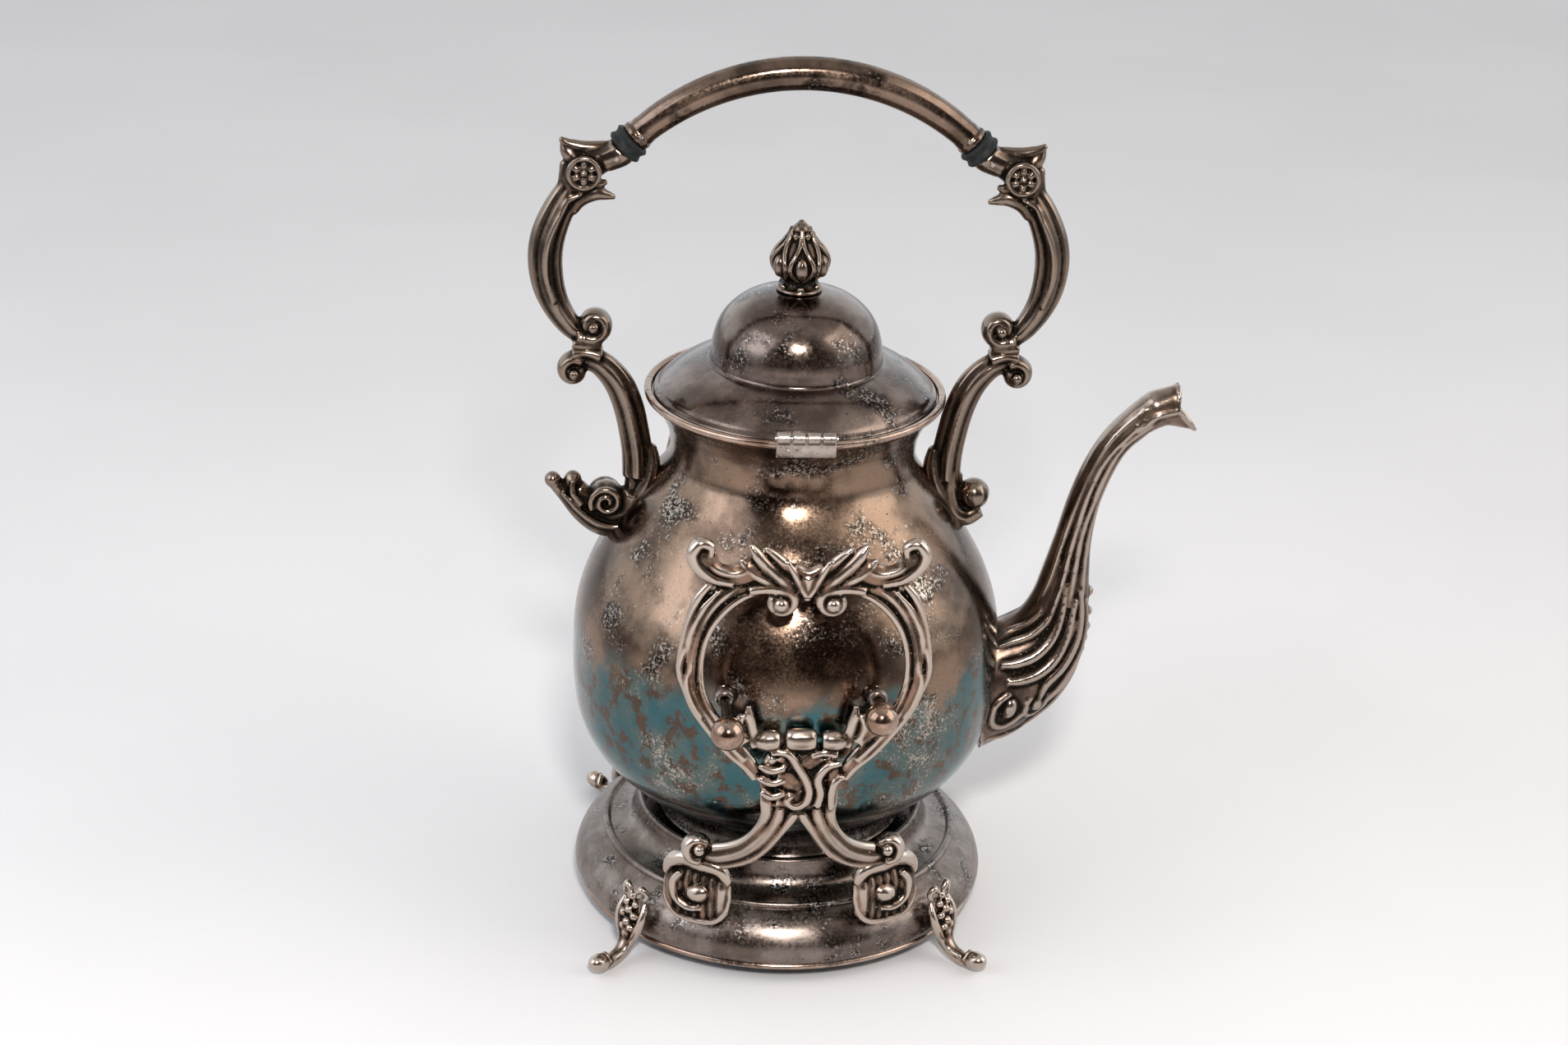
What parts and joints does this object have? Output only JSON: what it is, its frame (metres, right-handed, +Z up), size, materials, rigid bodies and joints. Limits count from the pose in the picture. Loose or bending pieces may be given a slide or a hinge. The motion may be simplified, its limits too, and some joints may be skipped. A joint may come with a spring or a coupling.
{
  "type": "tilting kettle on stand",
  "caption": "Silver-plated kettle with a bail handle, a scroll spout and a hinged domed lid, tilting on ball-headed pins in a round footed stand.",
  "frame": {"origin": "on the common axis of kettle and stand, on the surface the feet stand on", "axes": "+Z up, +X towards the spout, -Y the side with the lid hinge"},
  "size_m": [0.2454, 0.2093, 0.3295],
  "materials": {
    "spun_plate": "silver plate on brass sheet, heavily tarnished, semi-gloss",
    "cast_plate": "silver-plated castings with dark recesses and worn edges",
    "ball_pin_plate": "polished silver plate, lightly tarnished",
    "bright_metal": "bright unplated silver-coloured metal",
    "insulator": "matt dark grey-green composition"
  },
  "bodies": {
    "stand": {"stand_base": "spun_plate", "base_rim_wire": "spun_plate", "front_bracket": "cast_plate", "rear_bracket": "cast_plate", "bracket_pad_front_left": "cast_plate", "bracket_pad_front_right": "cast_plate", "bracket_pad_rear_left": "cast_plate", "bracket_pad_rear_right": "cast_plate", "foot_front_left": "cast_plate", "foot_front_right": "cast_plate", "foot_rear_left": "cast_plate", "foot_rear_right": "cast_plate"},
    "kettle": {"kettle_body": "spun_plate", "mouth_rim": "spun_plate", "kettle_foot_ring": "spun_plate", "pin_sockets": "spun_plate", "spout": "cast_plate", "lower_scroll_spout_side": "cast_plate", "lower_scroll_handle_side": "cast_plate", "upper_arm_spout_side": "cast_plate", "upper_arm_handle_side": "cast_plate", "insulator_spout_side": "insulator", "insulator_handle_side": "insulator", "insulator_cross_pins": "bright_metal", "handle_grip": "spun_plate", "hinge_body_leaf": "bright_metal", "hinge_pin": "bright_metal"},
    "lid": {"lid": "spun_plate", "lid_bezel": "spun_plate", "finial": "cast_plate", "finial_nut": "cast_plate", "hinge_lid_leaf": "bright_metal"},
    "pin_front_spout_side": {"ball_pin_front_spout_side": "ball_pin_plate"},
    "pin_front_handle_side": {"ball_pin_front_handle_side": "ball_pin_plate"},
    "pin_rear_spout_side": {"ball_pin_rear_spout_side": "ball_pin_plate"},
    "pin_rear_handle_side": {"ball_pin_rear_handle_side": "ball_pin_plate"}
  },
  "joints": [
    {"name": "kettle_tilt", "type": "hinge", "parent": "stand", "child": "kettle", "pos_m": [0.027, 0, 0.1185], "axis": [0, 1, 0], "range_deg": [0, 38]},
    {"name": "lid_hinge", "type": "hinge", "parent": "kettle", "child": "lid", "pos_m": [0, -0.0569, 0.209], "axis": [1, 0, 0], "range_deg": [0, 105]},
    {"name": "pull_front_spout_side", "type": "slide", "parent": "kettle", "child": "pin_front_spout_side", "axis": [0, -1, 0], "range_m": [0, 0.014]},
    {"name": "pull_front_handle_side", "type": "slide", "parent": "kettle", "child": "pin_front_handle_side", "axis": [0, -1, 0], "range_m": [-0.0105, 0.0035]},
    {"name": "pull_rear_spout_side", "type": "slide", "parent": "kettle", "child": "pin_rear_spout_side", "axis": [0, 1, 0], "range_m": [0, 0.014]},
    {"name": "pull_rear_handle_side", "type": "slide", "parent": "kettle", "child": "pin_rear_handle_side", "axis": [0, 1, 0], "range_m": [0, 0.014]}
  ]
}
